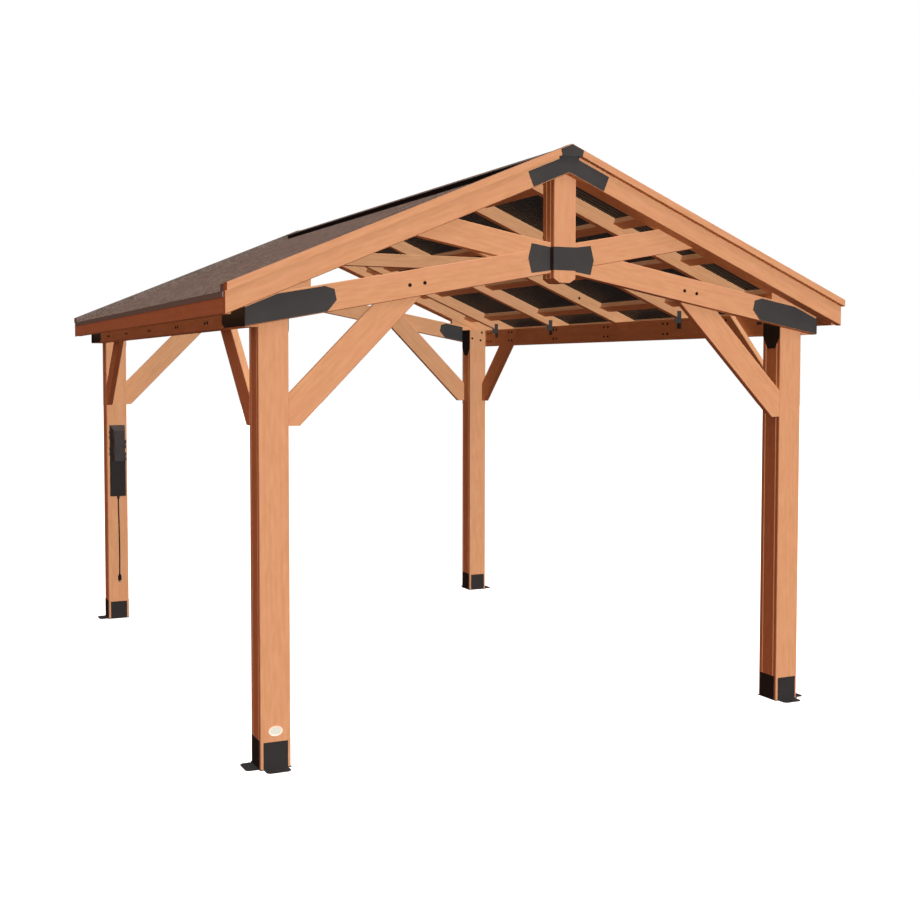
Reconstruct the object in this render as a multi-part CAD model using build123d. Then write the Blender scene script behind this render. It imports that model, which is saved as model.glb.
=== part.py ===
from build123d import *
import math
import os

# Gable-roofed garden gazebo with scissor trusses, in millimetres.
# X runs across the gable, Y along the ridge (the front gable is at -Y), Z up from the ground.

# Plan and roof
post_size = 148.0
post_centre_x = 1520.0
post_centre_y = 1973.0
roof_run = 12.0
roof_rise = 5.0
rafter_depth = 88.0
rafter_seat = 8.2
roof_skin = 18.0
rib_pitch = 40.0
rib_gap = 18.0
rib_depth = 6.0

# Posts and their metal feet
post_board = 28.0
foot_plate = 4.0
foot_height = 138.0
foot_end_height = 130.0
foot_width = 120.0
foot_flange = 66.0
foot_flange_clip = 14.0
foot_hole_radius = 6.5

# Timber frame
edge_ease = 3.0
header_thick = 72.0
header_depth = 136.0
header_under_z = 2085.0
chord_thick = 40.0
chord_depth = 134.0
chord_slope = 0.1815
fly_ply = 36.0
fascia_thick = 38.0
fascia_depth = 106.0
king_width = 128.0
king_drop = 59.0
king_chamfer = 35.0
king_chamfer_height = 22.0
heel_block_length = 96.0

# Knee braces
brace_depth = 144.0
brace_thick = 35.0
brace_drop = 463.0
brace_foot_cut = 56.0
brace_top_inset = 8.0

# Common rafters, purlins and tie
rafter_thick = 40.0
rafter_end_gap = 345.0
rafter_shifts = (0.0, -40.0, -110.0, -54.0, 10.0)
purlin_width = 76.0
purlin_depth = 34.0
purlin_count = 4
purlin_ridge_gap = 118.5
purlin_header_gap = 50.0
tie_drop = 327.0
tie_depth = 86.0

# Eaves, rakes and ridge
eave_gap = 77.0
eave_fascia_thick = 36.0
eave_fascia_depth = 84.8
drip_thick = 3.0
drip_height = 25.0
drip_gap = 2.0
trim_proud = 32.0
trim_lap = 29.0
trim_depth = 36.0
flashing_width = 55.0
flashing_depth = 33.0
vent_half_width = 106.0
vent_depth = 24.0
cap_overhang = 6.0
cap_depth = 7.0

# Steel plates
plate = 3.0
gusset_reach = 225.0
gusset_inset = 4.0
gusset_top_inset = 9.0
gusset_nose = 46.0
gusset_return = 400.0
inner_gusset_reach = 214.0
strap_half_length = 192.0
strap_corner_x = 173.0
strap_waist = 118.0
strap_end = 150.0
apex_wing_length = 204.0
apex_wing_depth = 86.0
apex_cap_half = 66.0
apex_cap_taper = 9.0
apex_inset = 5.0
bracket_width = 140.0
bracket_height = 214.0
bracket_tip = 60.0
bracket_taper = 67.0
hook_low = 68.0
hook_lap = 33.0
hook_high = 46.0
hook_reach = 30.0
hook_foot_reach = 50.0
hook_foot_rise = 5.0

# Outlet box, cord and plug
box_width = 112.0
box_bottom_z = 933.0
box_height = 535.0
box_depth = 38.0
hood_height = 268.0
hood_depth = 78.0
hood_side_depth = 16.0
hood_front_width = 67.0
hood_slope = 40.0
box_band_height = 121.0
box_groove_rise = 39.0
box_groove = 4.0
box_cap_height = 26.0
cover_margin = 7.0
cover_height = 61.0
cover_corner = 8.0
cover_thick = 5.0
left_cover_rise = 72.0
left_cover_pitch = 124.0
right_cover_rise = 32.0
right_cover_pitch = 92.0
hinge_shift = 20.0
hinge_height = 22.0
hinge_depth = 14.0
hinge_reach = 7.0
gland_radius = 11.0
gland_tip_radius = 7.0
gland_length = 22.0
cord_diameter = 10.0
cord_from_post = 24.0
cord_drop = 570.0
plug_radius = 13.0
plug_body = 34.0
plug_neck = 12.0
blade_length = 16.0

# Sizes that follow
slope = roof_rise / roof_run
slope_angle = math.degrees(math.atan(slope))
down_right = (roof_run, 0, -roof_rise)
post_half = post_size / 2
post_inner_x = post_centre_x - post_half
post_outer_x = post_centre_x + post_half
post_inner_y = post_centre_y - post_half
post_face_y = post_centre_y + post_half
header_outer_x = post_outer_x + header_thick
header_top_z = header_under_z + header_depth
chord_face_y = post_face_y + chord_thick
fly_face_y = chord_face_y + fly_ply
fascia_face_y = fly_face_y + fascia_thick
trim_face_y = fascia_face_y + trim_proud
trim_inner_y = fascia_face_y - trim_lap
flashing_inner_y = trim_inner_y - flashing_width
eave_inner_x = header_outer_x + eave_gap
roof_half_width = eave_inner_x + eave_fascia_thick
rafter_under_z = header_top_z - rafter_seat + slope * post_outer_x
rafter_top_z = rafter_under_z + rafter_depth
skin_top_z = rafter_top_z + roof_skin
trim_top_z = skin_top_z + trim_depth
chord_under_z = header_under_z + chord_slope * header_outer_x
chord_top_z = chord_under_z + chord_depth
king_under_z = chord_under_z - king_drop
tie_under_z = rafter_under_z - tie_drop
brace_foot_z = header_under_z - brace_drop
heel_inner_x = post_inner_x - heel_block_length
foot_hole_x = post_outer_x + (foot_flange + foot_plate) / 2
foot_hole_y = post_face_y + (foot_flange + foot_plate) / 2
cord_exit_z = box_bottom_z - gland_length
plug_top_z = cord_exit_z - cord_drop


def roof_z(apex_z, x):
    """Height at x of a line that falls with the roof from apex_z at the ridge."""
    return apex_z - slope * abs(x)


def board_across(points, y_from, y_to):
    """Solid from an outline in X and Z, running from y_from to y_to."""
    outline = [(x, y_from, z) for x, z in points]
    face = make_face(Polyline(*outline, close=True))
    return extrude(face, amount=y_to - y_from, dir=(0, 1, 0))


def board_along(points, x_from, x_to):
    """Solid from an outline in Y and Z, running from x_from to x_to."""
    outline = [(x_from, y, z) for y, z in points]
    face = make_face(Polyline(*outline, close=True))
    return extrude(face, amount=x_to - x_from, dir=(1, 0, 0))


def block(x_from, x_to, y_from, y_to, z_from, z_to):
    size = (x_to - x_from, y_to - y_from, z_to - z_from)
    centre = ((x_from + x_to) / 2, (y_from + y_to) / 2, (z_from + z_to) / 2)
    return Pos(*centre) * Box(*size)


def eased(board, grain):
    """Board with its long edges, the ones along the grain, slightly broken."""
    return chamfer(board.edges().filter_by(Axis((0, 0, 0), grain)), edge_ease)


def sum_of(solids):
    first, *rest = solids
    for solid in rest:
        first += solid
    return first


def to_left(shape):
    return mirror(shape, about=Plane.YZ)


def to_front(shape):
    return mirror(shape, about=Plane.XZ)


def rake_outline(under, top, x_from, x_to):
    """Outline on the right slope between two lines parallel to the roof."""
    return [(x_from, roof_z(under, x_from)), (x_to, roof_z(under, x_to)),
            (x_to, roof_z(top, x_to)), (x_from, roof_z(top, x_from))]


# Corner pieces are modelled at the rear right corner, then mirrored.
def make_post():
    """Post of a core between two boards, flush on every side."""
    joints = (post_inner_y, post_inner_y + post_board, post_face_y - post_board, post_face_y)
    plies = [block(post_inner_x, post_outer_x, y_from, y_to, foot_plate, header_top_z)
             for y_from, y_to in zip(joints, joints[1:])]
    return sum_of(eased(ply, (0, 0, 1)) for ply in plies)


def make_post_foot():
    half = foot_width / 2
    low_x = post_inner_x - foot_plate
    high_x = post_outer_x + foot_plate
    low_y = post_inner_y - foot_plate
    high_y = post_face_y + foot_plate
    foot = block(low_x, high_x, low_y, high_y, 0, foot_plate)
    foot += block(post_centre_x - half, post_centre_x + half, low_y, post_inner_y, 0, foot_end_height)
    foot += block(post_centre_x - half, post_centre_x + half, post_face_y, high_y, 0, foot_end_height)
    foot += block(low_x, post_inner_x, post_centre_y - half, post_centre_y + half, 0, foot_height)
    foot += block(post_outer_x, high_x, post_centre_y - half, post_centre_y + half, 0, foot_height)
    clip = foot_flange_clip
    tip_x = post_outer_x + foot_flange
    tip_y = post_face_y + foot_flange
    outer = [(high_x, post_centre_y - half), (tip_x - clip, post_centre_y - half),
             (tip_x, post_centre_y - half + clip), (tip_x, post_centre_y + half - clip),
             (tip_x - clip, post_centre_y + half), (high_x, post_centre_y + half)]
    end = [(post_centre_x - half, high_y), (post_centre_x - half, tip_y - clip),
           (post_centre_x - half + clip, tip_y), (post_centre_x + half - clip, tip_y),
           (post_centre_x + half, tip_y - clip), (post_centre_x + half, high_y)]
    for outline in (outer, end):
        face = make_face(Polyline(*[(x, y, 0) for x, y in outline], close=True))
        foot += extrude(face, amount=foot_plate, dir=(0, 0, 1))
    hole = Cylinder(foot_hole_radius, 4 * foot_plate)
    foot -= Pos(foot_hole_x, post_centre_y, 0) * hole
    foot -= Pos(post_centre_x, foot_hole_y, 0) * hole
    return foot


def make_gable_brace():
    """Knee brace flush with the post's gable face, lapped behind the chord."""
    steep = brace_depth * math.sqrt(2)
    low_at_post = brace_foot_z - brace_foot_cut
    high_at_post = low_at_post + steep
    limit = chord_top_z - brace_top_inset
    low_run = (limit - chord_slope * post_inner_x - low_at_post) / (1 - chord_slope)
    high_run = (limit - chord_slope * post_inner_x - high_at_post) / (1 - chord_slope)
    outline = [(post_inner_x, brace_foot_z), (post_inner_x - brace_foot_cut, brace_foot_z),
               (post_inner_x - low_run, low_at_post + low_run),
               (post_inner_x - high_run, high_at_post + high_run), (post_inner_x, high_at_post)]
    return eased(board_across(outline, post_face_y - brace_thick, post_face_y), (-1, 0, 1))


def make_eave_brace():
    """Knee brace flush with the post's outer face, lapped on the header's inner face."""
    steep = brace_depth * math.sqrt(2)
    low_at_post = brace_foot_z - brace_foot_cut
    high_at_post = low_at_post + steep
    top = header_top_z - brace_top_inset
    outline = [(post_inner_y, brace_foot_z), (post_inner_y - brace_foot_cut, brace_foot_z),
               (post_inner_y - (top - low_at_post), top), (post_inner_y - (top - high_at_post), top),
               (post_inner_y, high_at_post)]
    return eased(board_along(outline, post_outer_x - brace_thick, post_outer_x), (0, -1, 1))


def chord_outline():
    """Scissor chord that stands on the left header and ends under the right rafter."""
    foot_x = -header_outer_x
    heel_x = -(rafter_under_z - chord_top_z) / (slope - chord_slope)
    tip_low_x = (rafter_under_z - chord_under_z) / (slope + chord_slope)
    tip_high_x = (rafter_under_z - chord_top_z) / (slope + chord_slope)
    return [(foot_x, chord_under_z + chord_slope * foot_x),
            (tip_low_x, chord_under_z + chord_slope * tip_low_x),
            (tip_high_x, chord_top_z + chord_slope * tip_high_x),
            (heel_x, chord_top_z + chord_slope * heel_x),
            (foot_x, roof_z(rafter_under_z, foot_x))]


def make_chords():
    """Rear pair of scissor chords, half-lapped where they cross."""
    outline = chord_outline()
    crossing = [(-x, z) for x, z in outline]
    middle_y = post_face_y + chord_thick / 2
    left = eased(board_across(outline, post_face_y, chord_face_y), (1, 0, chord_slope))
    right = eased(board_across(crossing, post_face_y, chord_face_y), (1, 0, -chord_slope))
    left -= board_across(crossing, post_face_y, middle_y)
    right -= board_across(outline, middle_y, chord_face_y)
    return left, right


def make_king_post():
    """Rear king post in three plies, slotted over the crossed chords."""
    half = king_width / 2
    low = king_under_z
    flat = half - king_chamfer
    high = low + king_chamfer_height
    bottom = [(-half, high), (-flat, low), (flat, low), (half, high)]
    front_top = [(half, roof_z(rafter_under_z, half)), (0, rafter_under_z),
                 (-half, roof_z(rafter_under_z, half))]
    rear_top = [(half, roof_z(rafter_top_z, half)), (0, rafter_top_z), (-half, roof_z(rafter_top_z, half))]
    plies = [board_across(bottom + front_top, chord_face_y, fly_face_y),
             board_across(bottom + front_top, post_face_y, chord_face_y),
             board_across(bottom + rear_top, post_face_y - chord_thick, post_face_y)]
    post = sum_of(eased(ply, (0, 0, 1)) for ply in plies)
    slot = [(-half, chord_under_z - chord_slope * half), (0, chord_under_z),
            (half, chord_under_z - chord_slope * half), (half, chord_top_z + chord_slope * half),
            (0, chord_top_z), (-half, chord_top_z + chord_slope * half)]
    post -= board_across(slot, post_face_y, chord_face_y)
    return post


def make_heel_block():
    heel_x = (rafter_under_z - chord_top_z) / (slope - chord_slope)
    outline = [(heel_inner_x, chord_top_z - chord_slope * heel_inner_x),
               (heel_x, roof_z(rafter_under_z, heel_x)),
               (heel_inner_x, roof_z(rafter_under_z, heel_inner_x))]
    return board_across(outline, post_face_y, chord_face_y)


def purlin_outlines():
    """Cross-sections of the right slope's purlins, flush with the rafters' tops."""
    along = (math.cos(math.radians(slope_angle)), -math.sin(math.radians(slope_angle)))
    down = (-math.sin(math.radians(slope_angle)), -math.cos(math.radians(slope_angle)))
    last_x = post_outer_x - purlin_header_gap - along[0] * purlin_width
    spacing = (last_x - purlin_ridge_gap) / (purlin_count - 1)
    outlines = []
    for number in range(purlin_count):
        x = purlin_ridge_gap + number * spacing
        z = roof_z(rafter_top_z, x)
        far = (x + along[0] * purlin_width, z + along[1] * purlin_width)
        outlines.append([(x, z), far, (far[0] + down[0] * purlin_depth, far[1] + down[1] * purlin_depth),
                         (x + down[0] * purlin_depth, z + down[1] * purlin_depth)])
    return outlines


def rafter_places():
    """Middles of the common rafters along the ridge, shifted from an even spacing."""
    end = post_face_y - rafter_end_gap - rafter_thick / 2
    bays = len(rafter_shifts) - 1
    return [end * (2 * number / bays - 1) + shift for number, shift in enumerate(rafter_shifts)]


def make_rafters():
    outline = rake_outline(rafter_under_z, rafter_top_z, 0, eave_inner_x)
    rafters = []
    for y in rafter_places():
        y_from = y - rafter_thick / 2
        y_to = y + rafter_thick / 2
        rafter = eased(board_across(outline, y_from, y_to), down_right)
        rafter -= block(post_outer_x, header_outer_x, y_from, y_to, header_under_z, header_top_z)
        for notch in purlin_outlines():
            rafter -= board_across(notch, y_from, y_to)
        rafters.append(rafter)
    return rafters


def make_purlins():
    return [eased(board_across(outline, -post_face_y, post_face_y), (0, 1, 0))
            for outline in purlin_outlines()]


def make_collar_tie(y):
    low = tie_under_z
    high = tie_under_z + tie_depth
    low_x = (rafter_under_z - low) / slope
    high_x = (rafter_under_z - high) / slope
    outline = [(-low_x, low), (low_x, low), (high_x, high), (-high_x, high)]
    return eased(board_across(outline, y - rafter_thick / 2, y + rafter_thick / 2), (1, 0, 0))


def make_truss_rafter():
    """Rafter of two plies, one over the chords and one over the heel."""
    outline = rake_outline(rafter_under_z, rafter_top_z, 0, eave_inner_x)
    plies = [board_across(outline, post_face_y, chord_face_y),
             board_across(outline, chord_face_y, fly_face_y)]
    return sum_of(eased(ply, down_right) for ply in plies)


def make_gable_fascia():
    outline = rake_outline(rafter_under_z, rafter_under_z + fascia_depth, 0, roof_half_width)
    return eased(board_across(outline, fly_face_y, fascia_face_y), down_right)


def make_rake_trim():
    outline = rake_outline(skin_top_z, trim_top_z, 0, roof_half_width)
    return board_across(outline, trim_inner_y, trim_face_y)


def make_eave_fascia():
    under = roof_z(rafter_top_z, roof_half_width) - eave_fascia_depth
    outline = [(eave_inner_x, under), (roof_half_width, under),
               (roof_half_width, roof_z(rafter_top_z, roof_half_width)),
               (eave_inner_x, roof_z(rafter_top_z, eave_inner_x))]
    return eased(board_across(outline, -fly_face_y, fly_face_y), (0, 1, 0))


def make_roof_panel():
    """Sheet with ribs underneath that run from the ridge to the eave."""
    length = 2 * fly_face_y
    count = int(length / rib_pitch)
    first = -fly_face_y + (length - count * rib_pitch) / 2 + (rib_pitch - rib_gap) / 2
    outline = [(fly_face_y, rafter_top_z), (fly_face_y, skin_top_z), (-fly_face_y, skin_top_z),
               (-fly_face_y, rafter_top_z)]
    for number in range(count):
        y = first + number * rib_pitch
        outline += [(y, rafter_top_z), (y + rib_depth / 2, rafter_top_z + rib_depth),
                    (y + rib_gap - rib_depth / 2, rafter_top_z + rib_depth), (y + rib_gap, rafter_top_z)]
    face = make_face(Polyline(*[(0, y, z) for y, z in outline], close=True))
    run = Vector(roof_half_width, 0, -slope * roof_half_width)
    return extrude(face, amount=run.length, dir=run.normalized())


def make_rake_flashing():
    outline = rake_outline(skin_top_z, skin_top_z + flashing_depth, 0, roof_half_width)
    return board_across(outline, flashing_inner_y, trim_inner_y)


def make_drip_edge():
    top = roof_z(skin_top_z, roof_half_width) - drip_gap
    outer_x = roof_half_width + drip_thick
    return block(roof_half_width, outer_x, -fly_face_y, fly_face_y, top - drip_height, top)


def ridge_outline(under, top, half):
    return [(-half, roof_z(under, half)), (0, under), (half, roof_z(under, half)),
            (half, roof_z(top, half)), (0, top), (-half, roof_z(top, half))]


def make_ridge_vent():
    outline = ridge_outline(skin_top_z, skin_top_z + vent_depth, vent_half_width)
    return board_across(outline, -flashing_inner_y, flashing_inner_y)


def make_ridge_cap():
    under = skin_top_z + vent_depth
    outline = ridge_outline(under, under + cap_depth, vent_half_width + cap_overhang)
    return board_across(outline, -flashing_inner_y, flashing_inner_y)


def make_end_gusset():
    """Plate on the chord's foot that turns the corner onto the header."""
    low = chord_under_z + gusset_inset
    high = chord_top_z - gusset_top_inset
    corner_x = header_outer_x + plate
    nose = gusset_nose
    nose_x = post_inner_x - gusset_reach
    under_roof = rafter_under_z - gusset_top_inset
    heel_x = (under_roof - high) / (slope - chord_slope)
    outline = [(corner_x, low - chord_slope * corner_x),
               (nose_x + nose, low - chord_slope * (nose_x + nose)),
               (nose_x, low + nose - chord_slope * nose_x),
               (nose_x + nose / 4, high - nose / 2 - chord_slope * nose_x),
               (nose_x + 1.3 * nose, high - chord_slope * (nose_x + 1.3 * nose)),
               (heel_x, roof_z(under_roof, heel_x)),
               (corner_x, roof_z(under_roof, corner_x))]
    gusset = board_across(outline, chord_face_y, chord_face_y + plate)
    top = roof_z(under_roof, corner_x)
    bottom = low - chord_slope * corner_x
    end_y = chord_face_y - gusset_return
    side = [(chord_face_y, bottom), (end_y + nose, bottom), (end_y, bottom + nose / 2),
            (end_y, top - nose / 4), (end_y + nose / 4, top), (chord_face_y, top)]
    gusset += board_along(side, header_outer_x, corner_x)
    return gusset


def make_inner_gusset():
    """Plate on the chord's inner face, beside the post."""
    low = chord_under_z + gusset_inset
    high = chord_top_z - gusset_top_inset
    nose = gusset_nose
    x = post_inner_x - inner_gusset_reach
    under_roof = rafter_under_z - gusset_top_inset
    outline = [(post_inner_x, low - chord_slope * post_inner_x),
               (x + nose, low - chord_slope * (x + nose)), (x, low + nose - chord_slope * x),
               (x + nose / 4, high - nose / 2 - chord_slope * x),
               (x + 1.3 * nose, high - chord_slope * (x + 1.3 * nose)),
               (post_inner_x, high - chord_slope * post_inner_x)]
    return board_across(outline, post_face_y - plate, post_face_y)


def make_king_strap():
    """Bow-tie strap bent over the king post and onto the chords."""
    half = king_width / 2
    outer = half + plate
    middle = chord_under_z + chord_depth / 2 - 4
    waist = strap_waist / 2
    end = strap_end / 2
    wing = [(half, middle - waist), (strap_corner_x, middle - end), (strap_half_length, middle),
            (strap_corner_x, middle + end), (half, middle + waist)]
    strap = board_across(wing, chord_face_y, chord_face_y + plate)
    strap += to_left(board_across(wing, chord_face_y, chord_face_y + plate))
    strap += block(half, outer, chord_face_y, fly_face_y + plate, middle - waist, middle + waist)
    strap += block(-outer, -half, chord_face_y, fly_face_y + plate, middle - waist, middle + waist)
    strap += block(-outer, outer, fly_face_y, fly_face_y + plate, middle - waist, middle + waist)
    return strap


def make_apex_plate():
    """Winged plate on the fascias' joint, turned up over the trims' joint."""
    low = rafter_under_z + apex_inset
    high = low + apex_wing_depth
    out = apex_wing_depth * math.sin(math.radians(slope_angle)) * math.cos(math.radians(slope_angle))
    x = apex_wing_length
    tip = x + out
    cap = apex_cap_half
    neck = cap - apex_cap_taper
    wings = [(0, low), (x, roof_z(low, x)), (tip, roof_z(high, tip)), (neck, roof_z(high, neck)),
             (neck, roof_z(skin_top_z, neck)), (0, skin_top_z), (-neck, roof_z(skin_top_z, neck)),
             (-neck, roof_z(high, neck)), (-tip, roof_z(high, tip)), (-x, roof_z(low, x))]
    shape = board_across(wings, fascia_face_y, fascia_face_y + plate)
    under = ridge_outline(skin_top_z - plate, skin_top_z, neck)
    shape += board_across(under, fascia_face_y, trim_face_y + plate)
    front = [(neck, roof_z(skin_top_z - plate, neck)), (cap, roof_z(trim_top_z - plate, cap)),
             (0, trim_top_z - plate), (-cap, roof_z(trim_top_z - plate, cap)),
             (-neck, roof_z(skin_top_z - plate, neck))]
    shape += board_across(front, trim_face_y, trim_face_y + plate)
    return shape


def make_post_bracket():
    top = header_top_z
    bottom = top - bracket_height
    half = bracket_width / 2
    tip = bracket_tip / 2
    y = post_centre_y
    outline = [(y - tip, bottom), (y + tip, bottom), (y + half, bottom + bracket_taper), (y + half, top),
               (y - half, top), (y - half, bottom + bracket_taper)]
    return board_along(outline, post_inner_x - plate, post_inner_x)


def make_rafter_hook(face_y):
    """Angle on a rafter's front side with a leg under it on the header's inner face."""
    top = header_top_z
    under = top - rafter_seat - 1
    inner_x = post_outer_x - hook_reach
    foot_x = post_outer_x - hook_foot_reach
    hook = block(inner_x, post_outer_x, face_y - plate, face_y, top - hook_lap, top + hook_high)
    hook += block(foot_x, inner_x, face_y - plate, face_y, top - hook_lap, top + hook_foot_rise)
    hook += block(post_outer_x - plate, post_outer_x, face_y - plate, face_y + rafter_thick,
                  top - hook_low, under)
    return hook


def make_outlet_box():
    """Outlet box on the front face of the rear left post, with its gland."""
    x = -post_centre_x
    face = post_inner_y
    half = box_width / 2
    top = box_bottom_z + box_height
    hood_low = top - hood_height
    front_y = face - box_depth
    lower = block(x - half, x + half, front_y, face, box_bottom_z, hood_low)
    lower = fillet(lower.edges().filter_by(Axis.Z).group_by(Axis.Y)[0], 8)
    lower -= block(x - half, x + half, front_y, front_y + 2, box_bottom_z, box_bottom_z + box_band_height)
    lower -= block(x - half, x + half, front_y, front_y + 4, box_bottom_z, box_bottom_z + box_cap_height)
    groove_z = box_bottom_z + box_groove_rise
    lower -= block(x - half, x + half, front_y, front_y + 4, groove_z, groove_z + box_groove)
    gland = Pos(x, face - cord_from_post, box_bottom_z - gland_length / 2)
    gland *= Cone(gland_tip_radius, gland_radius, gland_length)
    return lower + make_hood(x, face, hood_low) + gland


def make_hood(x, face, low):
    """Hood with bevelled sides that carry hinged covers over the sockets."""
    half = box_width / 2
    front = hood_front_width / 2
    side_y = face - hood_side_depth
    front_y = face - hood_depth
    top = low + hood_height
    plan = [(x - half, face, low), (x - half, side_y, low), (x - front, front_y, low),
            (x + front, front_y, low), (x + half, side_y, low), (x + half, face, low)]
    hood = extrude(make_face(Polyline(*plan, close=True)), amount=hood_height, dir=(0, 0, 1))
    hood -= board_along([(front_y, top - hood_slope), (side_y, top), (front_y, top)], x - half, x + half)
    bevel = math.hypot(half - front, side_y - front_y)
    turn = math.degrees(math.atan2(side_y - front_y, half - front))
    cover = Box(bevel - 2 * cover_margin, 2 * cover_thick, cover_height)
    cover = chamfer(cover.edges().filter_by(Axis.Y), cover_corner)
    rows = ((-1, left_cover_rise, left_cover_pitch), (1, right_cover_rise, right_cover_pitch))
    for side, rise, pitch in rows:
        middle_x = x + side * (half + front) / 2
        for z in (low + rise, low + rise + pitch):
            hood += Pos(middle_x, (side_y + front_y) / 2, z) * Rot(0, 0, side * turn) * cover
            edges = sorted((x + side * (half + hinge_reach), x + side * (half - cover_thick)))
            for middle in (z - hinge_shift, z + hinge_shift):
                hood += block(*edges, side_y - hinge_depth, side_y,
                              middle - hinge_height / 2, middle + hinge_height / 2)
    return hood


def cord_route():
    x = -post_centre_x
    y = post_inner_y - cord_from_post
    return [(x, y, cord_exit_z), (x, y, cord_exit_z - 60), (x + 3, y - 1, cord_exit_z - 180),
            (x + 5, y - 2, cord_exit_z - 390), (x + 4, y - 1.5, plug_top_z + 60),
            (x + 4, y - 1.5, plug_top_z)]


def make_cord():
    """Cord that hangs from the gland, as straight runs joined by wide arcs."""
    points = [Vector(*point) for point in cord_route()]
    radii = []
    for before, corner, after in zip(points, points[1:], points[2:]):
        turn = math.radians((corner - before).get_angle(after - corner))
        shorter = min((corner - before).length, (after - corner).length)
        radii.append(0.45 * shorter / math.tan(turn / 2))
    print("cord radii", [round(radius) for radius in radii])
    path = FilletPolyline(*points, radius=radii)
    section = Plane(origin=path @ 0, z_dir=path % 0) * Circle(cord_diameter / 2)
    cord = sweep(section, path=path)
    expected = math.pi * cord_diameter ** 2 / 4 * path.length
    print("cord length", round(path.length, 1), "volume ratio", round(cord.volume / expected, 4))
    return cord


def make_plug():
    """Moulded plug with a tapered neck, two blades and a ground pin."""
    x, y, top = cord_route()[-1]
    neck = Pos(x, y, top - plug_neck / 2) * Cone(plug_radius * 0.9, cord_diameter / 2 + 2, plug_neck)
    body = Pos(x, y, top - plug_neck - plug_body / 2) * Cylinder(plug_radius, plug_body)
    plug = neck + body
    low = top - plug_neck - plug_body
    for side in (-1, 1):
        plug += block(x + side * 6 - 0.8, x + side * 6 + 0.8, y - 3.2, y + 3.2, low - blade_length, low)
    plug += Pos(x, y + 8, low - blade_length / 2) * Cylinder(2.4, blade_length)
    return plug


def four_corners(shape):
    left = to_left(shape)
    return [to_front(left), to_front(shape), left, shape]


def write(name, *solids):
    shape = solids[0] if len(solids) == 1 else Compound(children=list(solids))
    export_step(shape, os.path.join("parts", name + ".step"))


os.makedirs("parts", exist_ok=True)

posts = four_corners(make_post())
for name, post in zip(("front_left", "front_right", "rear_left", "rear_right"), posts):
    write("post_" + name, post)
write("post_feet", *four_corners(make_post_foot()))

gable_braces = four_corners(make_gable_brace())
write("front_gable_braces", *gable_braces[:2])
write("rear_gable_braces", *gable_braces[2:])
eave_braces = four_corners(make_eave_brace())
write("left_eave_braces", eave_braces[0], eave_braces[2])
write("right_eave_braces", eave_braces[1], eave_braces[3])

header = block(post_outer_x, header_outer_x, -post_face_y, post_face_y, header_under_z, header_top_z)
header = eased(header, (0, 1, 0))
write("left_header", to_left(header))
write("right_header", header)

left_chord, right_chord = make_chords()
write("rear_chord_left_foot", left_chord)
write("rear_chord_right_foot", right_chord)
write("front_chord_left_foot", to_front(left_chord))
write("front_chord_right_foot", to_front(right_chord))
king_post = make_king_post()
write("rear_king_post", king_post)
write("front_king_post", to_front(king_post))
write("heel_blocks", *four_corners(make_heel_block()))

truss_rafters = four_corners(make_truss_rafter())
write("left_truss_rafters", truss_rafters[0], truss_rafters[2])
write("right_truss_rafters", truss_rafters[1], truss_rafters[3])
fascias = four_corners(make_gable_fascia())
write("left_gable_fascias", fascias[0], fascias[2])
write("right_gable_fascias", fascias[1], fascias[3])
trims = four_corners(make_rake_trim())
write("left_rake_trims", trims[0], trims[2])
write("right_rake_trims", trims[1], trims[3])

rafters = make_rafters()
write("right_rafters", *rafters)
write("left_rafters", *[to_left(rafter) for rafter in rafters])
purlins = make_purlins()
write("right_purlins", *purlins)
write("left_purlins", *[to_left(purlin) for purlin in purlins])
middle_place = rafter_places()[len(rafter_shifts) // 2]
write("collar_tie", make_collar_tie(middle_place))

eave_fascia = make_eave_fascia()
write("right_eave_fascia", eave_fascia)
write("left_eave_fascia", to_left(eave_fascia))
roof_panel = make_roof_panel()
write("right_roof_panel", roof_panel)
write("left_roof_panel", to_left(roof_panel))
flashings = four_corners(make_rake_flashing())
drip_edge = make_drip_edge()
write("left_roof_edging", flashings[0], flashings[2], to_left(drip_edge))
write("right_roof_edging", flashings[1], flashings[3], drip_edge)
write("ridge_vent", make_ridge_vent())
write("ridge_cap", make_ridge_cap())

end_gussets = four_corners(make_end_gusset())
write("front_end_gussets", *end_gussets[:2])
write("rear_end_gussets", *end_gussets[2:])
write("inner_gussets", *four_corners(make_inner_gusset()))
king_strap = make_king_strap()
write("king_post_straps", to_front(king_strap), king_strap)
apex_plate = make_apex_plate()
write("apex_plates", to_front(apex_plate), apex_plate)
write("post_top_brackets", *four_corners(make_post_bracket()))
hooks = []
for place in rafter_places():
    if place != middle_place:
        hook = make_rafter_hook(place - rafter_thick / 2)
        hooks += [hook, to_left(hook)]
write("rafter_hooks", *hooks)

write("outlet_box", make_outlet_box())
write("outlet_cord", make_cord())
write("cord_plug", make_plug())
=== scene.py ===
import math

import bmesh
import bpy
from mathutils import Matrix, Vector


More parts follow.
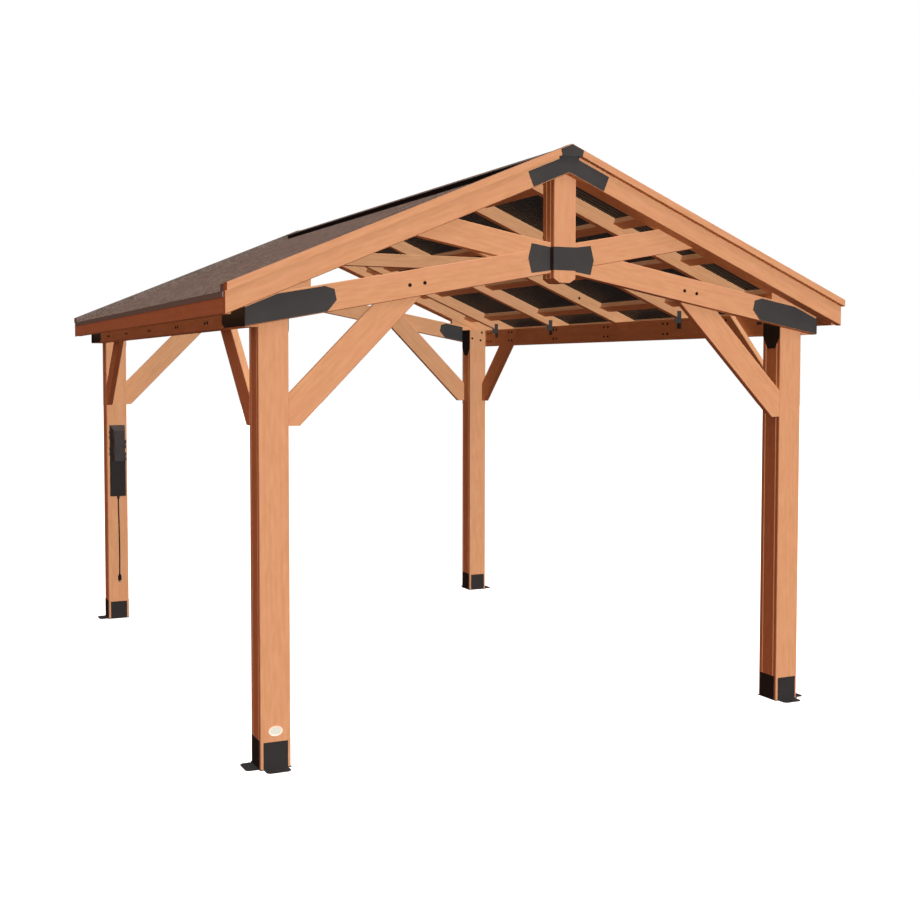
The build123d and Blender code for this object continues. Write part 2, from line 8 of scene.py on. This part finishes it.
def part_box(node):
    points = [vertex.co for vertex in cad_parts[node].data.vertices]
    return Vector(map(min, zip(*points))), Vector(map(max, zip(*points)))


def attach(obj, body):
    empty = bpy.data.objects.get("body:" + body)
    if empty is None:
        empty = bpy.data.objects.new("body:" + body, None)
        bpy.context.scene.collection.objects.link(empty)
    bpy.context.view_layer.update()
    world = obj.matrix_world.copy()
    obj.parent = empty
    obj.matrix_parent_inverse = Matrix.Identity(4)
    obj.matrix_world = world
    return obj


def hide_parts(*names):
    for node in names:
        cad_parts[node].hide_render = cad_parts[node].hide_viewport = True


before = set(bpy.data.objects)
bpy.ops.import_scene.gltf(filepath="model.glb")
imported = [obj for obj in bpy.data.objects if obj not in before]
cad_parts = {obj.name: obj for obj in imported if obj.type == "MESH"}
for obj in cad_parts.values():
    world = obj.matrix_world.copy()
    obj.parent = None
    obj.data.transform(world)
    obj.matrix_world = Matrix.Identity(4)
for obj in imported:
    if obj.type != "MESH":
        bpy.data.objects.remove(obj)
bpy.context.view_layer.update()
print("frame loaded:", len(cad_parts), "nodes")

roofSlope = 5 / 12
chordSlope = 0.1815     # of the crossed chords in the two gables

cameraSet = {
    "place": (-3.2778, -7.6827, 1.8896),
    "turn": 24.268,         # degrees from +Y towards +X
    "tilt": -2.673,
    "lens": 49.12,
    "sensor": 36,
    "shift": (0.0363, -0.0351),
    "reach": 200,
}


def makeCamera(c):
    data = bpy.data.cameras.new("camera")
    data.lens = c["lens"]
    data.sensor_width = c["sensor"]
    data.shift_x, data.shift_y = c["shift"]
    data.clip_end = c["reach"]
    camera = bpy.data.objects.new("camera", data)
    camera.location = c["place"]
    camera.rotation_euler = (math.radians(90 + c["tilt"]), 0, math.radians(-c["turn"]))
    bpy.context.scene.collection.objects.link(camera)
    bpy.context.scene.camera = camera


makeCamera(cameraSet)
print("camera placed")


# sockets in expressions, so that shader maths reads as maths
class Value:
    def __init__(self, nodes, socket):
        self.nodes = nodes
        self.socket = socket

    def maths(self, operation, *inputs):
        node = self.nodes.add("ShaderNodeMath", {"operation": operation}, list(inputs))
        return Value(self.nodes, node.outputs[0])

    def __add__(self, other): return self.maths("ADD", self, other)
    def __radd__(self, other): return self.maths("ADD", other, self)
    def __sub__(self, other): return self.maths("SUBTRACT", self, other)
    def __rsub__(self, other): return self.maths("SUBTRACT", other, self)
    def __mul__(self, other): return self.maths("MULTIPLY", self, other)
    def __rmul__(self, other): return self.maths("MULTIPLY", other, self)
    def __abs__(self): return self.maths("ABSOLUTE", self)
    def sign(self): return self.maths("SIGN", self)
    def sine(self): return self.maths("SINE", self)
    def above(self, edge): return self.maths("GREATER_THAN", self, edge)

    def ramp(self, low, high, start=0.0, end=1.0):
        node = self.nodes.add("ShaderNodeMapRange", {"interpolation_type": "SMOOTHSTEP"},
                              {"Value": self, "From Min": low, "From Max": high,
                               "To Min": start, "To Max": end})
        return Value(self.nodes, node.outputs["Result"])


class Nodes:
    def __init__(self, tree):
        self.tree = tree

    def link(self, value, socket):
        self.tree.links.new(value.socket if isinstance(value, Value) else value, socket)

    # any node: its settings first, then what goes into its sockets
    def add(self, kind, settings=None, sockets=None):
        node = self.tree.nodes.new(kind)
        for key, value in (settings or {}).items():
            if key == "stops":
                stops = node.color_ramp.elements
                for index, (at, colour) in enumerate(value):
                    stop = stops[index] if index < 2 else stops.new(at)
                    stop.position = at
                    stop.color = colour
            else:
                setattr(node, key, value)
        pairs = enumerate(sockets) if isinstance(sockets, list) else (sockets or {}).items()
        for key, value in pairs:
            if isinstance(value, (Value, bpy.types.NodeSocket)):
                self.link(value, node.inputs[key])
            else:
                node.inputs[key].default_value = value
        return node


class Finish(Nodes):
    def __init__(self, name, roughness=0.5, specular=0.5):
        self.material = bpy.data.materials.new(name)
        self.material.use_nodes = True
        super().__init__(self.material.node_tree)
        self.shader = self.tree.nodes["Principled BSDF"]
        self.shader.inputs["Roughness"].default_value = roughness
        self.shader.inputs["Metallic"].default_value = 0.0
        self.shader.inputs["Specular IOR Level"].default_value = specular
        coordinates = self.add("ShaderNodeTexCoord")
        self.place = coordinates.outputs["Object"]
        self.normal = coordinates.outputs["Normal"]

    def stretch(self, vector, scale):
        node = self.add("ShaderNodeVectorMath", {"operation": "MULTIPLY"}, [vector, scale])
        return node.outputs[0]

    def axes(self, vector):
        node = self.add("ShaderNodeSeparateXYZ", None, [vector])
        return [Value(self, output) for output in node.outputs]

    def join(self, x, y, z):
        return self.add("ShaderNodeCombineXYZ", None, [x, y, z]).outputs[0]

    def noise(self, vector, scale, detail=2.0, rough=0.5):
        node = self.add("ShaderNodeTexNoise", None,
                        {"Vector": vector, "Scale": scale, "Detail": detail, "Roughness": rough})
        return Value(self, node.outputs["Fac"])

    def cells(self, vector, scale, randomness=1.0):
        return self.add("ShaderNodeTexVoronoi", {"feature": "F1"},
                        {"Vector": vector, "Scale": scale, "Randomness": randomness})

    def mix(self, amount, first, second):
        node = self.add("ShaderNodeMix", {"data_type": "RGBA"}, {0: amount, 6: first, 7: second})
        return node.outputs[2]

    def paint(self, socket, value):
        self.link(value, self.shader.inputs[socket])

    def bump(self, height, strength, distance):
        node = self.add("ShaderNodeBump", None,
                        {"Strength": strength, "Distance": distance, "Height": height})
        self.paint("Normal", node.outputs["Normal"])


def rgb(red, green, blue):
    return (red, green, blue, 1)


cedar = {
    "light": rgb(0.648, 0.378, 0.205),
    "dark": rgb(0.566, 0.305, 0.154),
    "pink": rgb(0.634, 0.339, 0.197),
    "knot": rgb(0.48, 0.225, 0.095),
    "endGrain": rgb(0.56, 0.25, 0.115),
    "blotchScales": (48, 48, 9),          # across, in depth and along the grain
    "blotchShare": 1.5,                   # how much each pattern changes the colour
    "fibreScales": (340, 340, 7),
    "fibreShare": 0.8,
    "blushScales": (19, 19, 3),
    "blushShare": 0.55,
    "wanderScales": (2.0, 2.0, 0.5),
    "wander": 0.20,                       # metres the year rings stray
    "rings": 240,
    "ringShare": 0.07,
    "ringSlant": 0.6,                     # of the rings through the board's depth
    "ringBulge": 0.012,                   # metres they go round a knot
    "knotSpacing": (7.0, 7.0, 2.0),       # knots a metre across and along the grain
    "knotsLeftOut": 0.5,
    "knotSize": (0.020, 0.050),           # where its edge starts and ends
    "knotShare": 0.8,
    "haloSize": (0.03, 0.22),
    "haloShare": 0.25,
    "endGrainShare": 0.6,
    "roughness": 0.66,
    "relief": 0.0010,
    "apart": (3.7, 5.3),                  # metres between the patterns of mirrored pieces
}


# mirrored turns the grain the other way beyond x or y = 0, as on pieces of both hands
def cedarFinish(name, grain, mirrored=""):
    f = Finish(name, specular=0.25)
    x, y, z = f.axes(f.place)
    if "x" in mirrored:
        x = abs(x) + x.sign() * cedar["apart"][0]
    if "y" in mirrored:
        y = abs(y) + y.sign() * cedar["apart"][1]
    turn = Vector(grain).rotation_difference(Vector((0, 0, 1))).to_euler()
    board = f.add("ShaderNodeMapping", {"vector_type": "POINT"},
                  {"Vector": f.join(x, y, z), "Rotation": turn}).outputs[0]

    cell = f.cells(f.stretch(board, cedar["knotSpacing"]), 1.0, 0.9)
    picked = f.axes(cell.outputs["Color"])[0].above(cedar["knotsLeftOut"])
    near = Value(f, cell.outputs["Distance"])
    knot = near.ramp(*cedar["knotSize"], 1, 0) * picked
    halo = near.ramp(*cedar["haloSize"], 1, 0) * picked

    wander = f.noise(f.stretch(board, cedar["wanderScales"]), 1.0, 2)
    across, depth, _ = f.axes(board)
    layers = across + depth * cedar["ringSlant"] + wander * cedar["wander"]
    rings = ((layers + halo * cedar["ringBulge"]) * cedar["rings"]).sine()
    blotch = f.noise(f.stretch(board, cedar["blotchScales"]), 1.0, 3, 0.6)
    blush = f.noise(f.stretch(board, cedar["blushScales"]), 1.0, 2)
    fibre = f.noise(f.stretch(board, cedar["fibreScales"]), 1.0, 2)

    tone = (0.5 + (blotch - 0.5) * cedar["blotchShare"] + (fibre - 0.5) * cedar["fibreShare"]
            + rings * cedar["ringShare"])
    colour = f.mix(tone.ramp(0.0, 1.0), cedar["dark"], cedar["light"])
    colour = f.mix(blush.ramp(0.45, 0.70) * cedar["blushShare"], colour, cedar["pink"])
    colour = f.mix(halo * cedar["haloShare"], colour, cedar["dark"])
    colour = f.mix(knot * cedar["knotShare"], colour, cedar["knot"])
    if not mirrored:
        facing = f.add("ShaderNodeVectorMath", {"operation": "DOT_PRODUCT"},
                       [f.normal, Vector(grain).normalized()]).outputs["Value"]
        cut = abs(Value(f, facing)).ramp(0.85, 0.90)          # faces sawn across the grain
        colour = f.mix(cut * cedar["endGrainShare"], colour, cedar["endGrain"])

    f.paint("Base Color", colour)
    f.paint("Roughness", cedar["roughness"] - fibre * 0.12 - knot * 0.1)
    f.bump(fibre * 0.6 + rings * 0.12 + knot * 0.5, 0.22, cedar["relief"])
    return f.material


steel = {
    "colour": rgb(0.048, 0.053, 0.055),
    "worn": rgb(0.066, 0.071, 0.073),
    "wornShare": 0.5,
    "cloudScale": 6.0,
    "gritScale": 900.0,
    "roughness": 0.46,
    # painted shade: near black, mixed into the plates where they sit in shade
    "paintedShade": rgb(0.001, 0.001, 0.001),
    # height at which the painted shade on the post feet fades out
    "footTop": (0.20, 0.24),
    "footShade": 0.4,                     # how much painted shade darkens the post feet
    "foldPlace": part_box("front_end_gussets")[1].x - 0.0005,
    "foldShade": 0.55,                    # how much painted shade darkens the gussets' folds round the corner
    # how much painted shade darkens the brackets at the post tops
    "bracketShade": 0.6,
}


def plateFinish(name, paintedShade=0.0):
    f = Finish(name, specular=0.3)
    cloud = f.noise(f.place, steel["cloudScale"], 3)
    grit = f.noise(f.place, steel["gritScale"], 1)
    worn = cloud.ramp(0.35, 0.75) * steel["wornShare"]
    colour = f.mix(worn, steel["colour"], steel["worn"])
    # painted shade over the whole plate when an amount is given, as on the brackets
    if paintedShade:
        colour = f.mix(paintedShade, colour, steel["paintedShade"])
    x, _, z = f.axes(f.place)
    # painted shade on the post feet, darker towards the bottom
    foot = z.ramp(*steel["footTop"], 1, 0) * steel["footShade"]
    # painted shade on the outer faces of the gussets' folds
    fold = abs(x).ramp(steel["foldPlace"] - 0.001, steel["foldPlace"]) * steel["foldShade"]
    f.paint("Base Color", f.mix(foot + fold, colour, steel["paintedShade"]))
    f.paint("Roughness", steel["roughness"] + cloud * 0.14 + grit * 0.05)
    f.bump(grit, 0.15, 0.0003)
    return f.material


roof = {
    "pale": rgb(0.290, 0.265, 0.240),
    "mid": rgb(0.140, 0.119, 0.104),
    "deep": rgb(0.048, 0.040, 0.035),
    "underside": rgb(0.0165, 0.0225, 0.0265),
    "ribShine": rgb(0.022, 0.028, 0.031),
    "deepAt": 0.14,                       # tones at which each colour stands
    "midAt": 0.50,
    "paleAt": 0.86,
    "chipScale": 230.0,
    "chipShare": 0.28,                    # of each size of granules in the tone
    "clumpScale": 105.0,
    "clumpShare": 0.38,
    "cloudScale": 30.0,
    "cloudShare": 0.36,
    "driftScale": 7.0,
    "driftShare": 0.12,
    "darker": 0.07,
    "downSlope": (0.85, 1, 0.85),         # clumps and clouds are longer down the slope
    "streaks": (1.5, 40, 1.5),            # along the ribs underneath
    "streakShare": 0.6,
}


# granules and mottling of four sizes, so that the sheet looks speckled near and far
def granularTop(f, paler=0.0):
    downSlope = f.stretch(f.place, roof["downSlope"])
    chips = f.axes(f.cells(f.place, roof["chipScale"]).outputs["Color"])[0]
    clumps = f.axes(f.cells(downSlope, roof["clumpScale"]).outputs["Color"])[1]
    clouds = f.noise(downSlope, roof["cloudScale"], 3, 0.8).ramp(0.32, 0.68)
    drifts = f.noise(f.place, roof["driftScale"], 2, 0.6).ramp(0.3, 0.7)
    tone = (chips * roof["chipShare"] + clumps * roof["clumpShare"]
            + clouds * roof["cloudShare"] + drifts * roof["driftShare"]
            + (paler - roof["darker"]))
    stops = [(roof["deepAt"], roof["deep"]), (roof["paleAt"], roof["pale"]),
             (roof["midAt"], roof["mid"])]
    return f.add("ShaderNodeValToRGB", {"stops": stops}, {"Fac": tone}).outputs[0], chips


def roofFinish():
    f = Finish("granular roof sheet", specular=0.25)
    top, chips = granularTop(f)
    up = f.axes(f.normal)[2].ramp(0.3, 0.5)
    streak = f.noise(f.stretch(f.place, roof["streaks"]), 1.0, 2)
    under = f.mix(streak * roof["streakShare"], roof["underside"], roof["ribShine"])
    f.paint("Base Color", f.mix(up, under, top))
    f.paint("Roughness", up * 0.4 + 0.5)
    f.bump(chips * up, 0.5, 0.0015)
    return f.material


edging = {
    "drip": rgb(0.240, 0.300, 0.320),
    "worn": rgb(0.28, 0.34, 0.36),
    "wornShare": 0.5,
    "dripPlace": (1.7788, 1.7792),        # just inside the drip edges' outer faces
    "brush": (120, 6, 120),
    "paler": 0.05,                        # than the roof's granules
    "calmer": 0.6,
    "roughness": 0.45,
}


# granular on the flashings, bare metal on the drip edges' outer faces
def edgingFinish():
    f = Finish("folded edging", specular=0.35)
    brush = f.noise(f.stretch(f.place, edging["brush"]), 1.0, 2)
    strip, chips = granularTop(f, edging["paler"])
    strip = f.mix(edging["calmer"], strip, roof["mid"])
    drip = f.mix(brush * edging["wornShare"], edging["drip"], edging["worn"])
    flashing = abs(f.axes(f.place)[0]).ramp(*edging["dripPlace"], 1, 0)
    f.paint("Base Color", f.mix(flashing, drip, strip))
    f.paint("Roughness", edging["roughness"] + flashing * 0.4)
    f.bump(chips * flashing + brush * 0.2, 0.3, 0.001)
    return f.material


vent = {
    # painted shade in the openings between the bars
    "slot": rgb(0.006, 0.006, 0.006),
    "bar": rgb(0.018, 0.018, 0.018),
    "barRate": 260,
    "relief": 0.002,
}


def ventFinish():
    f = Finish("ridge vent", roughness=0.7, specular=0.3)
    # bars, with painted shade in the slots between them
    bar = (f.axes(f.place)[1] * vent["barRate"]).sine().ramp(0.1, 0.5)
    f.paint("Base Color", f.mix(bar, vent["slot"], vent["bar"]))
    f.bump(bar, 0.6, vent["relief"])
    return f.material


moulding = {
    "grainScale": 1400.0,
    "cloudScale": 14.0,
    "faded": 0.25,
    "brighter": 1.5,
    "relief": 0.0002,
}

outlet = {
    "colour": rgb(0.027, 0.028, 0.028),
    "roughness": 0.42,
    "hood": rgb(0.052, 0.052, 0.055),
    "hoodPlace": 1.199,
    "jacket": rgb(0.012, 0.012, 0.012),
    "jacketRoughness": 0.5,
}


def brighter(colour):
    return rgb(*(value * moulding["brighter"] for value in colour[:3]))


# smooth moulded or coated stuff, with another colour above a height if one is given
def mouldedFinish(name, colour, roughness, upper=None, split=0.0):
    f = Finish(name, specular=0.35)
    grain = f.noise(f.place, moulding["grainScale"], 1)
    cloud = f.noise(f.place, moulding["cloudScale"], 2)
    faded = cloud.ramp(0.4, 0.8) * moulding["faded"]
    base = f.mix(faded, colour, brighter(colour))
    if upper:
        base = f.mix(f.axes(f.place)[2].above(split), base, f.mix(faded, upper, brighter(upper)))
    f.paint("Base Color", base)
    f.paint("Roughness", roughness + cloud * 0.12)
    f.bump(grain, 0.2, moulding["relief"])
    return f.material


downRight = Vector((1, 0, -roofSlope)).normalized()
downLeft = Vector((1, 0, roofSlope)).normalized()
fromLeftFoot = Vector((1, 0, chordSlope)).normalized()
fromRightFoot = Vector((1, 0, -chordSlope)).normalized()

# each finish with the solids that have it
finishes = {
    "upright": (cedarFinish("cedar upright", (0, 0, 1), "xy"),
                ["post_front_left", "post_front_right", "post_rear_left", "post_rear_right"]),
    "king": (cedarFinish("cedar king post", (0, 0, 1), "y"),
             ["front_king_post", "rear_king_post"]),
    "ridgewise": (cedarFinish("cedar along ridge", (0, 1, 0)),
                  ["left_header", "right_header", "left_purlins", "right_purlins",
                   "left_eave_fascia", "right_eave_fascia"]),
    "tie": (cedarFinish("cedar tie", (1, 0, 0)), ["collar_tie"]),
    "downRight": (cedarFinish("cedar down right", downRight),
                  ["right_truss_rafters", "right_rafters", "right_gable_fascias",
                   "right_rake_trims"]),
    "downLeft": (cedarFinish("cedar down left", downLeft),
                 ["left_truss_rafters", "left_rafters", "left_gable_fascias",
                  "left_rake_trims"]),
    "leftFoot": (cedarFinish("cedar chord left", fromLeftFoot),
                 ["front_chord_left_foot", "rear_chord_left_foot"]),
    "rightFoot": (cedarFinish("cedar chord right", fromRightFoot),
                  ["front_chord_right_foot", "rear_chord_right_foot"]),
    "heel": (cedarFinish("cedar heel", fromRightFoot, "x"), ["heel_blocks"]),
    "gableBrace": (cedarFinish("cedar gable brace", (-1, 0, 1), "x"),
                   ["front_gable_braces", "rear_gable_braces"]),
    "eaveBrace": (cedarFinish("cedar eave brace", (0, -1, 1), "y"),
                  ["left_eave_braces", "right_eave_braces"]),
    "plate": (plateFinish("dark plate"),
              ["post_feet", "front_end_gussets", "rear_end_gussets", "inner_gussets",
               "king_post_straps", "apex_plates", "rafter_hooks"]),
    # the brackets get painted shade over all of their steel
    "bracket": (plateFinish("shaded bracket", steel["bracketShade"]), ["post_top_brackets"]),
    "roof": (roofFinish(), ["left_roof_panel", "right_roof_panel", "ridge_cap"]),
    "edging": (edgingFinish(), ["left_roof_edging", "right_roof_edging"]),
    "vent": (ventFinish(), ["ridge_vent"]),
    "box": (mouldedFinish("outlet box", outlet["colour"], outlet["roughness"],
                          outlet["hood"], outlet["hoodPlace"]), ["outlet_box"]),
    "jacket": (mouldedFinish("cord jacket", outlet["jacket"], outlet["jacketRoughness"]),
               ["cord_plug", "outlet_cord"]),
}
for material, nodes in finishes.values():
    for node in nodes:
        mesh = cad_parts[node].data
        mesh.materials.clear()
        mesh.materials.append(material)
print("finishes made:", len(finishes))


cordSet = {
    "diameter": 0.010,
    "length": 0.570,
    "points": [(-1.520, 1.875, 0.911), (-1.520, 1.875, 0.851), (-1.517, 1.874, 0.731),
               (-1.515, 1.873, 0.521), (-1.516, 1.8735, 0.401), (-1.516, 1.8735, 0.341)],
}


def makeCord(c):
    curve = bpy.data.curves.new("outletLead", "CURVE")
    curve.dimensions = "3D"
    curve.bevel_depth = c["diameter"] / 2
    curve.bevel_resolution = 6
    curve.resolution_u = 12
    curve.use_fill_caps = True
    spline = curve.splines.new("NURBS")
    spline.points.add(len(c["points"]) - 1)
    for point, place in zip(spline.points, c["points"]):
        point.co = (*place, 1)
    spline.order_u = 3
    spline.use_endpoint_u = True
    lead = bpy.data.objects.new("outletLead", curve)
    bpy.context.scene.collection.objects.link(lead)
    curve.materials.append(finishes["jacket"][0])
    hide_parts("outlet_cord")
    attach(lead, "root")


makeCord(cordSet)
print("cord hung")


def addPiece(name, bm, slot, *materials):
    bmesh.ops.recalc_face_normals(bm, faces=bm.faces)
    mesh = bpy.data.meshes.new(name)
    bm.to_mesh(mesh)
    bm.free()
    for material in materials:
        mesh.materials.append(material)
    piece = bpy.data.objects.new(name, mesh)
    bpy.context.scene.collection.objects.link(piece)
    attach(piece, "root")


frameBolts = {
    "radius": 0.0064,
    "height": 0.003,
    "topShare": 0.86,                                     # of the radius
    "washer": 0.001,
    "washerShares": (1.5, 1.42),                          # of the radius, at its foot and top
    "tarnished": rgb(0.014, 0.008, 0.005),
    "bronze": rgb(0.030, 0.019, 0.013),
    "chordPairs": [(0.843, 2.296), (0.764, 2.309)],       # x and z on the chords' outer faces
    "headerRows": (2.123, 2.190),
    "outerPlaces": (-1.376, -0.725, 0.0, 0.725, 1.376),   # y on the headers' outer faces
    "innerPlaces": (-1.826, -0.725, 0.0, 0.725, 1.826),
    "bracePlace": 1.385,                                  # y on the eave braces
    "groupHalf": 0.0255,
    "postScrews": [(1.469, 2.150), (1.559, 2.200), (1.546, 2.135)],
    "rafterScrew": (1.292, 0.044),                        # x, and its depth under the top
}


def boltFinish(b):
    f = Finish("dark bronze head", roughness=0.55, specular=0.15)
    tarnish = f.noise(f.place, 160.0, 2)
    f.paint("Base Color", f.mix(tarnish, b["tarnished"], b["bronze"]))
    f.bump(tarnish, 0.2, 0.0005)
    return f.material


# a round head on a washer, pointing out along an axis
def addBolt(bm, b, place, out):
    turn = Vector((0, 0, 1)).rotation_difference(Vector(out)).to_matrix().to_4x4()
    seat = Matrix.Translation(place) @ turn
    foot, top = (b["radius"] * share for share in b["washerShares"])
    bmesh.ops.create_cone(bm, cap_ends=True, segments=16, radius1=foot, radius2=top,
                          depth=b["washer"],
                          matrix=seat @ Matrix.Translation((0, 0, b["washer"] / 2)))
    middle = b["washer"] + b["height"] / 2
    bmesh.ops.create_cone(bm, cap_ends=True, segments=12, radius1=b["radius"],
                          radius2=b["radius"] * b["topShare"], depth=b["height"],
                          matrix=seat @ Matrix.Translation((0, 0, middle)))


def makeFrameBolts(b):
    bm = bmesh.new()
    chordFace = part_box("front_chord_left_foot")[0].y
    headerIn, headerOut = (corner.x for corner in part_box("right_header"))
    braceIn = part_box("right_eave_braces")[0].x
    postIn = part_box("post_rear_right")[0].y
    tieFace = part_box("collar_tie")[0].y
    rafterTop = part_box("right_rafters")[1].z
    pair = (-b["groupHalf"], b["groupHalf"])
    screwPlace, screwDepth = b["rafterScrew"]
    for side in (-1, 1):
        inwards = (-side, 0, 0)
        for y in b["outerPlaces"]:
            for shift in pair:
                addBolt(bm, b, (side * headerOut, y + shift, b["headerRows"][0]), (side, 0, 0))
        for shift in pair:
            for z in b["headerRows"]:
                for y in b["innerPlaces"]:
                    addBolt(bm, b, (side * headerIn, y + shift, z), inwards)
                for end in (-1, 1):
                    y = end * (b["bracePlace"] + shift)
                    addBolt(bm, b, (side * braceIn, y, z), inwards)
        for end in (-1, 1):
            for x, z in b["chordPairs"]:
                addBolt(bm, b, (side * x, -end * chordFace, z), (0, end, 0))
            for x, z in b["postScrews"]:
                addBolt(bm, b, (side * x, end * postIn, z), (0, -end, 0))
        screwHeight = rafterTop - screwDepth - screwPlace * roofSlope
        addBolt(bm, b, (side * screwPlace, tieFace, screwHeight), (0, -1, 0))
    addPiece("frameBolts", bm, "dark_steel", boltFinish(b))


makeFrameBolts(frameBolts)
print("bolts set")


badge = {
    "width": 0.069,
    "height": 0.048,
    "thick": 0.003,
    "up": 0.181,
    "rim": 0.007,
    "sunk": 0.3,                          # of the thickness
    "eased": 0.2,
    "sharp": 1.0,                         # radians, from which an edge is eased
    "rimColour": rgb(0.90, 0.86, 0.78),
    "faceColour": rgb(0.66, 0.80, 0.72),
    "roughness": 0.4,
}


# the largest of the highest faces
def topFace(bm):
    return max(bm.faces, key=lambda f: (round(f.calc_center_median().z, 5), f.calc_area()))


def makeBadge(b):
    low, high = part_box("post_front_left")
    bm = bmesh.new()
    bmesh.ops.create_cone(bm, cap_ends=True, segments=64, radius1=0.5, radius2=0.5, depth=1)
    bmesh.ops.scale(bm, vec=(b["width"], b["height"], b["thick"]), verts=bm.verts)
    bmesh.ops.inset_region(bm, faces=[topFace(bm)], thickness=b["rim"], depth=0)
    face = topFace(bm)
    face.material_index = 1
    bmesh.ops.translate(bm, vec=(0, 0, -b["thick"] * b["sunk"]), verts=face.verts)
    outer = [edge for edge in bm.edges if edge.calc_face_angle(0) > b["sharp"]]
    bmesh.ops.bevel(bm, geom=outer, offset=b["thick"] * b["eased"], segments=2,
                    affect="EDGES", profile=0.5, material=-1)
    place = Matrix.Translation(((low.x + high.x) / 2, low.y - b["thick"] / 2, b["up"]))
    bm.transform(place @ Matrix.Rotation(math.pi / 2, 4, "X"))
    addPiece("ovalBadge", bm, "box_plastic",
             mouldedFinish("badge rim", b["rimColour"], b["roughness"]),
             mouldedFinish("badge face", b["faceColour"], b["roughness"]))


makeBadge(badge)
print("badge set")


rakeLip = {
    "lap": 0.045,                         # over the trim's top
    "rest": 0.010,                        # on the flashing
    "drop": 0.003,
    "thick": 0.0008,
    "colour": rgb(0.155, 0.135, 0.122),
    "roughness": 0.5,
}


# folded sheet over the inner edge of each rake trim, resting on the flashing
def makeRakeLips(r):
    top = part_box("left_rake_trims")[1].z
    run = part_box("right_rake_trims")[1].x
    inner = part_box("left_roof_edging")[1].y
    lap, rest, drop, thick = r["lap"], r["rest"], r["drop"], r["thick"]
    fold = [(lap, 0), (lap, thick), (-thick, thick), (-thick, thick - drop),
            (-rest, thick - drop), (-rest, -drop), (0, -drop), (0, 0)]
    bm = bmesh.new()
    for end in (-1, 1):
        corners = [bm.verts.new((0, end * (inner + y), top + z)) for y, z in fold]
        moved = bmesh.ops.extrude_face_region(bm, geom=[bm.faces.new(corners)])["geom"]
        ends = [item for item in moved if isinstance(item, bmesh.types.BMVert)]
        bmesh.ops.translate(bm, vec=(run, 0, -run * roofSlope), verts=ends)
    bmesh.ops.mirror(bm, geom=bm.verts[:] + bm.edges[:] + bm.faces[:], axis="X", merge_dist=-1)
    addPiece("rakeLips", bm, "edging_metal",
             mouldedFinish("folded lip", r["colour"], r["roughness"]))


makeRakeLips(rakeLip)
print("rake lips folded")


studio = {
    "fill": rgb(1.06, 0.43, 0.28),        # warm light from all round, weaker from below
    "fillAbove": 0.56,
    "fillBelow": 0.17,
    "fillBlend": 0.25,                    # of the way up and down, where it changes
    "gloss": rgb(0.035, 0.037, 0.040),    # what the plates reflect
    "backdrop": rgb(1.0, 1.0, 1.0),
    "floor": rgb(0.60, 0.60, 0.60),
    "floorGlow": 0.85,
    "floorRadius": 60.0,
    "floorDrop": 0.001,
    "suns": {
        # towards the light, strength, softness in degrees, colour, shadows and gloss
        "front key": ((0.12, -0.70, 0.70), 0.35, 25, (1.0, 0.98, 0.95), True),
        "front wash": ((0.12, -0.70, 0.70), 3.4, 10, (1.0, 0.99, 0.97), False),
        "back wash": ((0.0, 1.0, 0.05), 1.1, 10, (1.0, 0.95, 0.90), False),
        "right wash": ((1.0, 0.05, 0.05), 1.1, 10, (1.0, 0.92, 0.85), False),
    },
}


def makeWorld(s):
    world = bpy.data.worlds.new("studio")
    world.use_nodes = True
    sky = Nodes(world.node_tree)
    towards = sky.add("ShaderNodeTexCoord").outputs["Generated"]
    height = sky.add("ShaderNodeSeparateXYZ", None, [towards]).outputs["Z"]
    strength = sky.add("ShaderNodeMapRange", None,
                       {"Value": height, "From Min": -s["fillBlend"], "From Max": s["fillBlend"],
                        "To Min": s["fillBelow"], "To Max": s["fillAbove"]}).outputs["Result"]
    fill = sky.tree.nodes["Background"]
    fill.inputs["Color"].default_value = s["fill"]
    sky.link(strength, fill.inputs["Strength"])
    ray = sky.add("ShaderNodeLightPath")
    gloss = sky.add("ShaderNodeBackground", None, {"Color": s["gloss"]})
    shown = sky.add("ShaderNodeBackground", None, {"Color": s["backdrop"]})
    inner = sky.add("ShaderNodeMixShader", None,
                    [ray.outputs["Is Glossy Ray"], fill.outputs[0], gloss.outputs[0]])
    outer = sky.add("ShaderNodeMixShader", None,
                    [ray.outputs["Is Camera Ray"], inner.outputs[0], shown.outputs[0]])
    sky.link(outer.outputs[0], sky.tree.nodes["World Output"].inputs["Surface"])
    bpy.context.scene.world = world


def makeFloor(s):
    bm = bmesh.new()
    bmesh.ops.create_circle(bm, cap_ends=True, segments=64, radius=s["floorRadius"])
    mesh = bpy.data.meshes.new("floor")
    bm.to_mesh(mesh)
    bm.free()
    f = Finish("studio floor", roughness=0.9, specular=0.0)
    f.shader.inputs["Base Color"].default_value = s["floor"]
    f.shader.inputs["Emission Color"].default_value = s["backdrop"]
    f.shader.inputs["Emission Strength"].default_value = s["floorGlow"]
    mesh.materials.append(f.material)
    floor = bpy.data.objects.new("floor", mesh)
    floor.location = (0, 0, -s["floorDrop"])
    floor.visible_diffuse = False         # the floor throws no light back up
    floor.visible_glossy = False
    bpy.context.scene.collection.objects.link(floor)


def makeSuns(s):
    for name, (towards, strength, softness, colour, crisp) in s["suns"].items():
        data = bpy.data.lights.new(name, "SUN")
        data.energy = strength
        data.angle = math.radians(softness)
        data.color = colour
        data.use_shadow = crisp
        lamp = bpy.data.objects.new(name, data)
        lamp.visible_glossy = crisp
        lamp.rotation_euler = Vector(towards).to_track_quat("Z", "Y").to_euler()
        bpy.context.scene.collection.objects.link(lamp)


makeFloor(studio)
makeWorld(studio)
makeSuns(studio)
bpy.context.scene.view_settings.view_transform = "Standard"
print("studio lit")
